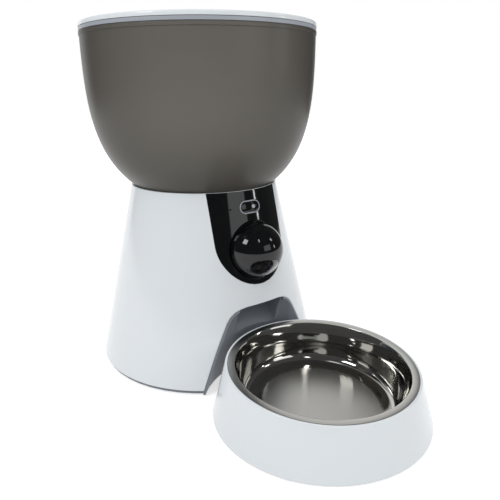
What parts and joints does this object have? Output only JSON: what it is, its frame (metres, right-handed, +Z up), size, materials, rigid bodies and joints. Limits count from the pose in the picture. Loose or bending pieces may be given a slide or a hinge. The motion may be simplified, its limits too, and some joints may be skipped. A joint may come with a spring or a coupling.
{
  "type": "pet feeder with camera",
  "caption": "Cone-shaped automatic pet feeder: lidded smoked hopper, tilting ball camera, feed button, rotary dispenser and front chute over a steel bowl on its own stand.",
  "frame": {"origin": "centre of the whole feeder's bounding box, on the table", "axes": "+Z up; the camera, the doorway and the bowl face -Y; +X is on the right of someone who faces the camera"},
  "size_m": [0.212, 0.3573, 0.3088],
  "materials": {
    "white_plastic": "gloss",
    "grey_plastic": "satin",
    "pale_grey_plastic": "satin",
    "smoke_plastic": "satin, slightly see-through",
    "black_gloss": "high gloss",
    "black_plastic": "matte",
    "lens_glass": "polished",
    "light_guide": "frosted",
    "bowl_steel": "polished wall, brushed floor",
    "steel": "plated",
    "motor_metal": "satin",
    "rubber": "matte",
    "silicone": "soft",
    "circuit_board": "lacquered",
    "gear_nylon": "satin"
  },
  "bodies": {
    "tower": {"base_plate": "grey_plastic", "base_screw_1": "steel", "base_screw_2": "steel", "base_screw_3": "steel", "base_screw_4": "steel", "board_screw_1": "steel", "board_screw_2": "steel", "button_board": "circuit_board", "button_ring": "light_guide", "button_switch": "black_plastic", "camera_arm": "black_plastic", "camera_socket": "black_plastic", "case_screw_1": "steel", "case_screw_2": "steel", "chute": "grey_plastic", "dispenser_well": "grey_plastic", "doorway_liner": "grey_plastic", "front_panel": "black_gloss", "gear_case": "grey_plastic", "main_board": "circuit_board", "microphone": "black_plastic", "motor": "motor_metal", "motor_screw_1": "steel", "motor_screw_2": "steel", "power_inlet": "black_plastic", "radio_module": "motor_metal", "speaker": "black_plastic", "tower_foot_1": "rubber", "tower_foot_2": "rubber", "tower_foot_3": "rubber", "tower_foot_4": "rubber", "tower_shell": "white_plastic", "well_screw_1": "steel", "well_screw_2": "steel"},
    "hopper_unit": {"hopper": "smoke_plastic", "portion_floor": "grey_plastic", "portion_baffle": "grey_plastic"},
    "lid": {"lid_plate": "white_plastic", "lid_band": "pale_grey_plastic", "lid_seal": "silicone", "desiccant_box": "grey_plastic", "desiccant_cover": "grey_plastic"},
    "rotor": {"food_rotor": "rubber", "stirrer": "grey_plastic"},
    "drive": {"drive_gear": "gear_nylon", "output_shaft": "steel"},
    "idler": {"idler_gear": "gear_nylon"},
    "pinion": {"motor_pinion": "steel"},
    "button": {"feed_button": "black_gloss", "status_light": "light_guide"},
    "camera": {"camera_ball": "black_gloss", "tilt_pin": "steel", "lens_window": "lens_glass", "camera_lens": "black_plastic", "camera_board": "circuit_board"},
    "stand": {"bowl_stand": "white_plastic", "stand_pad_1": "rubber", "stand_pad_2": "rubber", "stand_pad_3": "rubber"},
    "bowl": {"steel_bowl": "bowl_steel"}
  },
  "joints": [
    {"name": "hopper_lift", "type": "slide", "parent": "tower", "child": "hopper_unit", "axis": [0, 0, 1], "range_m": [0, 0.06]},
    {"name": "lid_lift", "type": "slide", "parent": "hopper_unit", "child": "lid", "axis": [0, 0, 1], "range_m": [0, 0.06]},
    {"name": "rotor_spin", "type": "hinge", "parent": "hopper_unit", "child": "rotor", "pos_m": [0, 0.07265, 0.148], "axis": [0, 0, 1], "continuous": true},
    {"name": "drive_spin", "type": "hinge", "parent": "tower", "child": "drive", "pos_m": [0, 0.07265, 0.125], "axis": [0, 0, 1], "continuous": true},
    {"name": "idler_spin", "type": "hinge", "parent": "tower", "child": "idler", "pos_m": [0, 0.09265, 0.12], "axis": [0, 0, 1], "continuous": true},
    {"name": "pinion_spin", "type": "hinge", "parent": "tower", "child": "pinion", "pos_m": [0, 0.11265, 0.114], "axis": [0, 0, 1], "continuous": true},
    {"name": "button_press", "type": "slide", "parent": "tower", "child": "button", "axis": [0, 0.9749, -0.2227], "range_m": [0, 0.0008], "stiffness_N_per_m": 800, "springref_m": -0.001},
    {"name": "camera_tilt", "type": "hinge", "parent": "tower", "child": "camera", "pos_m": [0, -0.00487, 0.1187], "axis": [-1, 0, 0], "range_deg": [-15, 35]},
    {"name": "stand_pull", "type": "slide", "parent": "tower", "child": "stand", "axis": [0, -1, 0], "range_m": [0, 0.08]},
    {"name": "bowl_lift", "type": "slide", "parent": "stand", "child": "bowl", "axis": [0, 0, 1], "range_m": [0, 0.022]}
  ],
  "couplings": [
    {"joint": "drive_spin", "follows": "rotor_spin", "ratio": 1},
    {"joint": "idler_spin", "follows": "rotor_spin", "ratio": -3},
    {"joint": "pinion_spin", "follows": "rotor_spin", "ratio": 9}
  ]
}
